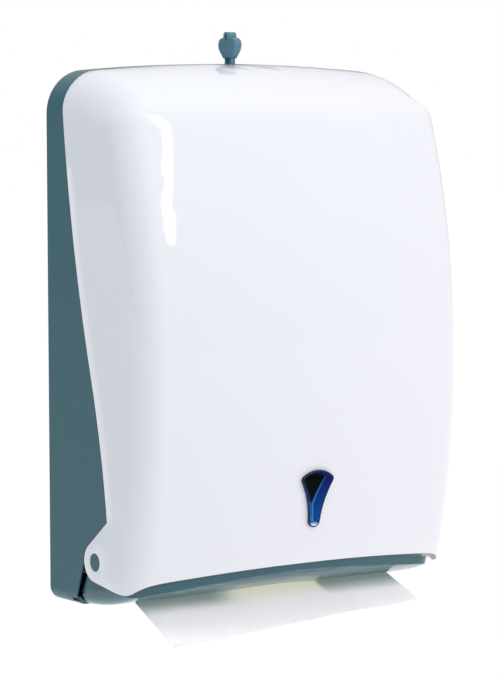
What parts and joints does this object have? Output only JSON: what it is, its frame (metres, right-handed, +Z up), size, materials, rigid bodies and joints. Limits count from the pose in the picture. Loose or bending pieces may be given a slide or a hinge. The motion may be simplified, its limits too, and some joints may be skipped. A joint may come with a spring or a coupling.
{
  "type": "folded paper towel dispenser",
  "caption": "Wall-mounted lockable cabinet for folded paper towels, with a bowed hinged cover, a bottom outlet with a finger notch and a sight window.",
  "frame": {"origin": "centre of the four wall screw holes, on the wall plane", "axes": "+X right as seen by the user, +Y into the wall, +Z up"},
  "size_m": [0.287, 0.142, 0.4388],
  "materials": {
    "casing": "satin moulded plastic",
    "cover": "glossy moulded plastic",
    "tray": "satin moulded plastic",
    "towel": "soft crepe tissue",
    "steel": "zinc plated",
    "key": "satin moulded plastic",
    "window": "dark translucent plastic"
  },
  "bodies": {
    "casing": {"rear_casing": "casing", "dispensing_throat": "casing", "towel_tray": "tray", "towel_stack": "towel", "towel_sheet": "towel", "hinge_pin_left": "casing", "hinge_pin_right": "casing", "pin_clips": "steel", "throat_screws": "steel", "tray_screws": "steel", "lock_housing": "casing", "lock_screws": "steel"},
    "cover": {"front_cover": "cover", "cover_catch": "tray", "catch_screws": "steel", "level_window": "window", "window_clip": "steel"},
    "lock_rotor": {"lock_plug": "casing", "lock_cam": "steel", "cam_washer": "steel", "cam_screw": "steel"},
    "key": {"key": "key"}
  },
  "joints": [
    {"name": "cover_hinge", "type": "hinge", "parent": "casing", "child": "cover", "pos_m": [0, -0.062, -0.165], "axis": [1, 0, 0], "range_deg": [0, 90], "deforming": ["towel_sheet"]},
    {"name": "key_turn", "type": "hinge", "parent": "casing", "child": "lock_rotor", "pos_m": [0, -0.027, 0.175], "axis": [0, 0, 1], "range_deg": [-90, 0]},
    {"name": "key_pull", "type": "slide", "parent": "lock_rotor", "child": "key", "axis": [0, 0, 1], "range_m": [0, 0.03]}
  ]
}
